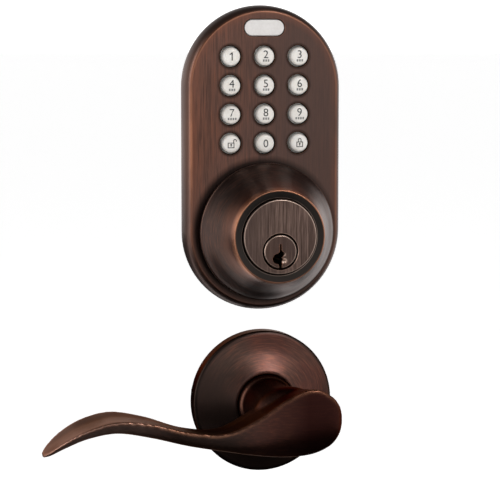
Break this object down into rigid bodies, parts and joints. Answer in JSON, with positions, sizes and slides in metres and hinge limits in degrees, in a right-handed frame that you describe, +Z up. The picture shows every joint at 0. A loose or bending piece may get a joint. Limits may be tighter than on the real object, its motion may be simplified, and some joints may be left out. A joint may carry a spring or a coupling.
{
  "type": "keypad smart lock",
  "caption": "Outer keypad deadbolt unit with key cylinder and tapered guard collar, above a matching wave-shaped door lever on a round rose.",
  "frame": {"origin": "the deadbolt bore's axis, which is the key plug's axis, on the door's outer face", "axes": "+Y into the door, so the lock's front faces -Y; +Z up; +X to the right of a person facing the lock"},
  "size_m": [0.1368, 0.1183, 0.2032],
  "materials": {
    "oil_bronze": "oil-rubbed bronze finish, fine straight brushing, worn coppery edges",
    "collar_bronze": "oil-rubbed bronze finish, fine turned brushing, worn coppery rim",
    "cylinder_bronze": "oil-rubbed bronze finish, upright brushing, bright chamfers",
    "pearl_button": "pearl white moulded plastic with dark grey printed characters",
    "window_lens": "milky white moulded window",
    "silicone": "soft grey silicone",
    "circuit_board": "green solder mask",
    "steel": "zinc-plated steel",
    "hardware_steel": "plated fastener steel",
    "spring_steel": "bright spring wire",
    "zinc_casting": "raw zinc die casting",
    "pin_brass": "plain turned brass",
    "gasket_rubber": "black foam rubber",
    "flex_film": "amber polyimide film",
    "connector_plastic": "ivory nylon connector"
  },
  "bodies": {
    "door_side": {"keypad_housing": "oil_bronze", "lever_rose": "oil_bronze", "cylinder_body": "cylinder_bronze", "status_window": "window_lens", "keypad_membrane": "silicone", "keypad_circuit_board": "circuit_board", "rear_mounting_plate": "steel", "cylinder_nut": "steel", "housing_screw_1": "hardware_steel", "housing_screw_2": "hardware_steel", "housing_screw_3": "hardware_steel", "housing_screw_4": "hardware_steel", "lever_spring": "spring_steel", "pin_spring_1": "spring_steel", "pin_spring_2": "spring_steel", "pin_spring_3": "spring_steel", "pin_spring_4": "spring_steel", "pin_spring_5": "spring_steel", "lever_base": "zinc_casting", "mounting_post_left": "zinc_casting", "mounting_post_right": "zinc_casting", "lever_post_left": "zinc_casting", "lever_post_right": "zinc_casting", "pin_cover": "pin_brass", "driver_pin_1": "pin_brass", "driver_pin_2": "pin_brass", "driver_pin_3": "pin_brass", "driver_pin_4": "pin_brass", "driver_pin_5": "pin_brass", "door_gasket": "gasket_rubber", "flex_strip": "flex_film", "cable_socket": "connector_plastic"},
    "guard_collar": {"cylinder_collar": "collar_bronze"},
    "key_plug_set": {"key_plug": "cylinder_bronze", "plug_clip": "hardware_steel", "tailpiece": "steel", "key_pin_1": "pin_brass", "key_pin_2": "pin_brass", "key_pin_3": "pin_brass", "key_pin_4": "pin_brass", "key_pin_5": "pin_brass"},
    "lever_set": {"lever": "oil_bronze", "lever_set_screw": "hardware_steel", "lever_spindle": "steel", "lever_clip": "hardware_steel", "stop_washer": "steel"},
    "key_1": {"button_1": "pearl_button"},
    "key_2": {"button_2": "pearl_button"},
    "key_3": {"button_3": "pearl_button"},
    "key_4": {"button_4": "pearl_button"},
    "key_5": {"button_5": "pearl_button"},
    "key_6": {"button_6": "pearl_button"},
    "key_7": {"button_7": "pearl_button"},
    "key_8": {"button_8": "pearl_button"},
    "key_9": {"button_9": "pearl_button"},
    "key_open": {"button_open": "pearl_button"},
    "key_0": {"button_0": "pearl_button"},
    "key_close": {"button_close": "pearl_button"}
  },
  "joints": [
    {"name": "press_1", "type": "slide", "parent": "door_side", "child": "key_1", "axis": [0, 1, 0], "range_m": [0, 0.001], "stiffness_N_per_m": 1500},
    {"name": "press_2", "type": "slide", "parent": "door_side", "child": "key_2", "axis": [0, 1, 0], "range_m": [0, 0.001], "stiffness_N_per_m": 1500},
    {"name": "press_3", "type": "slide", "parent": "door_side", "child": "key_3", "axis": [0, 1, 0], "range_m": [0, 0.001], "stiffness_N_per_m": 1500},
    {"name": "press_4", "type": "slide", "parent": "door_side", "child": "key_4", "axis": [0, 1, 0], "range_m": [0, 0.001], "stiffness_N_per_m": 1500},
    {"name": "press_5", "type": "slide", "parent": "door_side", "child": "key_5", "axis": [0, 1, 0], "range_m": [0, 0.001], "stiffness_N_per_m": 1500},
    {"name": "press_6", "type": "slide", "parent": "door_side", "child": "key_6", "axis": [0, 1, 0], "range_m": [0, 0.001], "stiffness_N_per_m": 1500},
    {"name": "press_7", "type": "slide", "parent": "door_side", "child": "key_7", "axis": [0, 1, 0], "range_m": [0, 0.001], "stiffness_N_per_m": 1500},
    {"name": "press_8", "type": "slide", "parent": "door_side", "child": "key_8", "axis": [0, 1, 0], "range_m": [0, 0.001], "stiffness_N_per_m": 1500},
    {"name": "press_9", "type": "slide", "parent": "door_side", "child": "key_9", "axis": [0, 1, 0], "range_m": [0, 0.001], "stiffness_N_per_m": 1500},
    {"name": "press_open", "type": "slide", "parent": "door_side", "child": "key_open", "axis": [0, 1, 0], "range_m": [0, 0.001], "stiffness_N_per_m": 1500},
    {"name": "press_0", "type": "slide", "parent": "door_side", "child": "key_0", "axis": [0, 1, 0], "range_m": [0, 0.001], "stiffness_N_per_m": 1500},
    {"name": "press_close", "type": "slide", "parent": "door_side", "child": "key_close", "axis": [0, 1, 0], "range_m": [0, 0.001], "stiffness_N_per_m": 1500},
    {"name": "plug_turn", "type": "hinge", "parent": "door_side", "child": "key_plug_set", "pos_m": [0, 0, 0], "axis": [0, 1, 0], "range_deg": [-90, 90]},
    {"name": "collar_spin", "type": "hinge", "parent": "door_side", "child": "guard_collar", "pos_m": [0, 0, 0.0062], "axis": [0, 1, 0], "continuous": true},
    {"name": "lever_turn", "type": "hinge", "parent": "door_side", "child": "lever_set", "pos_m": [0, 0, -0.069], "axis": [0, 1, 0], "range_deg": [-45, 45], "stiffness_Nm_per_rad": 2, "springref_deg": 3.44}
  ]
}
